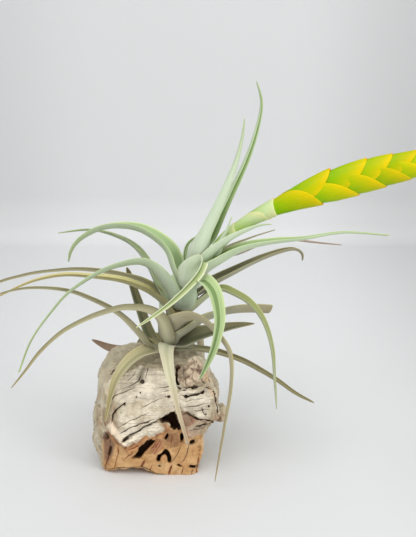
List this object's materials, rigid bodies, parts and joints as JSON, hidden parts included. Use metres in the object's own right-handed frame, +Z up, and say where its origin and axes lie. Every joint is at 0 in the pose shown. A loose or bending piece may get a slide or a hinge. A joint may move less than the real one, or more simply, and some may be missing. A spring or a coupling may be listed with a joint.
{
  "type": "flowering air plant on cork bark",
  "caption": "Air plant with arching channelled leaves and a flat yellow-green flower spike, growing on a free-standing chunk of cork bark.",
  "frame": {"origin": "middle of the cork bark's flat underside, at the surface that it stands on", "axes": "+Z up, +X along the flower spike's reach, -Y toward the front that the picture shows"},
  "size_m": [0.3214, 0.1523, 0.2351],
  "materials": {
    "cork": "rough, weathered bark over warm brown cork",
    "stem": "matt, fibrous",
    "flower_stalk": "satin green",
    "stalk_bract": "satin, pale green with a fine grey bloom",
    "flower_bract": "satin, yellow green to yellow, faintly glossy",
    "leaf_silver": "matt, silvery scales over green",
    "leaf_green": "matt, light scales over green",
    "leaf_olive": "matt, grey scales over olive",
    "leaf_tan": "matt, drying to tan",
    "leaf_cream": "matt, dried to cream",
    "leaf_dry": "matt, dried brown"
  },
  "bodies": {
    "root": {"cork_bark": "cork", "stem": "stem", "flower_stalk": "flower_stalk", "stalk_bract_1": "stalk_bract", "stalk_bract_2": "stalk_bract", "stalk_bract_3": "stalk_bract", "flower_bract_1": "flower_bract", "flower_bract_2": "flower_bract", "flower_bract_3": "flower_bract", "flower_bract_4": "flower_bract", "flower_bract_5": "flower_bract", "flower_bract_6": "flower_bract", "flower_bract_7": "flower_bract", "flower_bract_8": "flower_bract", "flower_bract_9": "flower_bract", "flower_bract_10": "flower_bract", "flower_bract_11": "flower_bract", "flower_bract_12": "flower_bract", "flower_bud": "flower_bract", "leaf_tall_back": "leaf_green", "leaf_tall_front": "leaf_silver", "leaf_young": "leaf_silver", "leaf_inner_left": "leaf_silver", "leaf_upper_right_short": "leaf_silver", "leaf_upper_right_long": "leaf_green", "leaf_back_right": "leaf_olive", "leaf_right_dried": "leaf_dry", "leaf_back_upper": "leaf_green", "leaf_left_arch": "leaf_green", "leaf_front_narrow": "leaf_silver", "leaf_right_olive": "leaf_olive", "leaf_left_back": "leaf_silver", "leaf_left_silver": "leaf_silver", "leaf_front_droop": "leaf_green", "leaf_back_middle": "leaf_silver", "leaf_right_arch": "leaf_olive", "leaf_left_olive": "leaf_olive", "leaf_left_golden": "leaf_tan", "leaf_back_long": "leaf_olive", "leaf_right_cut": "leaf_olive", "leaf_right_tan": "leaf_tan", "leaf_left_lower": "leaf_olive", "leaf_back_upright": "leaf_olive", "leaf_right_low_olive": "leaf_olive", "leaf_back_right_low": "leaf_tan", "leaf_left_low": "leaf_olive", "leaf_back_left_low": "leaf_tan", "leaf_right_low": "leaf_olive", "leaf_cork_left": "leaf_tan", "leaf_cork_front": "leaf_cream", "leaf_back_dry": "leaf_dry"}
  },
  "joints": []
}
